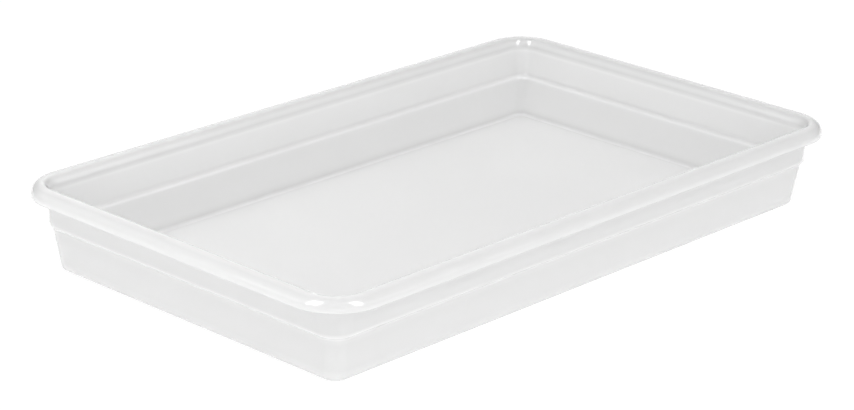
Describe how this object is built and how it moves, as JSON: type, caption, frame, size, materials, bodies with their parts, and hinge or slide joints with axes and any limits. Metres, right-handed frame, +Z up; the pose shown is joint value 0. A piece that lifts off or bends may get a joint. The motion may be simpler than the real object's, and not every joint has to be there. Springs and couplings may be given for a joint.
{
  "type": "gastronorm container",
  "caption": "Shallow rectangular food container of clear milky plastic with a rolled rim to hang it by, sloping walls, a stacking shoulder and a flat floor.",
  "frame": {"origin": "middle of the flat underside, on the surface that the container stands on", "axes": "+X along the long side, +Y along the short side, +Z up out of the open top"},
  "size_m": [0.53, 0.325, 0.065],
  "materials": {
    "clear_plastic": "glossy, see-through and slightly milky"
  },
  "bodies": {
    "root": {"floor_panel": "clear_plastic", "lower_wall_front": "clear_plastic", "lower_wall_right": "clear_plastic", "lower_wall_back": "clear_plastic", "lower_wall_left": "clear_plastic", "lower_corner_front_left": "clear_plastic", "lower_corner_front_right": "clear_plastic", "lower_corner_back_right": "clear_plastic", "lower_corner_back_left": "clear_plastic", "stacking_shoulder": "clear_plastic", "upper_wall": "clear_plastic", "rim_neck_front": "clear_plastic", "rim_crown_front": "clear_plastic", "rim_lip_front": "clear_plastic", "rim_neck_right": "clear_plastic", "rim_crown_right": "clear_plastic", "rim_lip_right": "clear_plastic", "rim_neck_back": "clear_plastic", "rim_crown_back": "clear_plastic", "rim_lip_back": "clear_plastic", "rim_neck_left": "clear_plastic", "rim_crown_left": "clear_plastic", "rim_lip_left": "clear_plastic", "rim_corner_front_left": "clear_plastic", "rim_corner_front_right": "clear_plastic", "rim_corner_back_right": "clear_plastic", "rim_corner_back_left": "clear_plastic"}
  },
  "joints": []
}
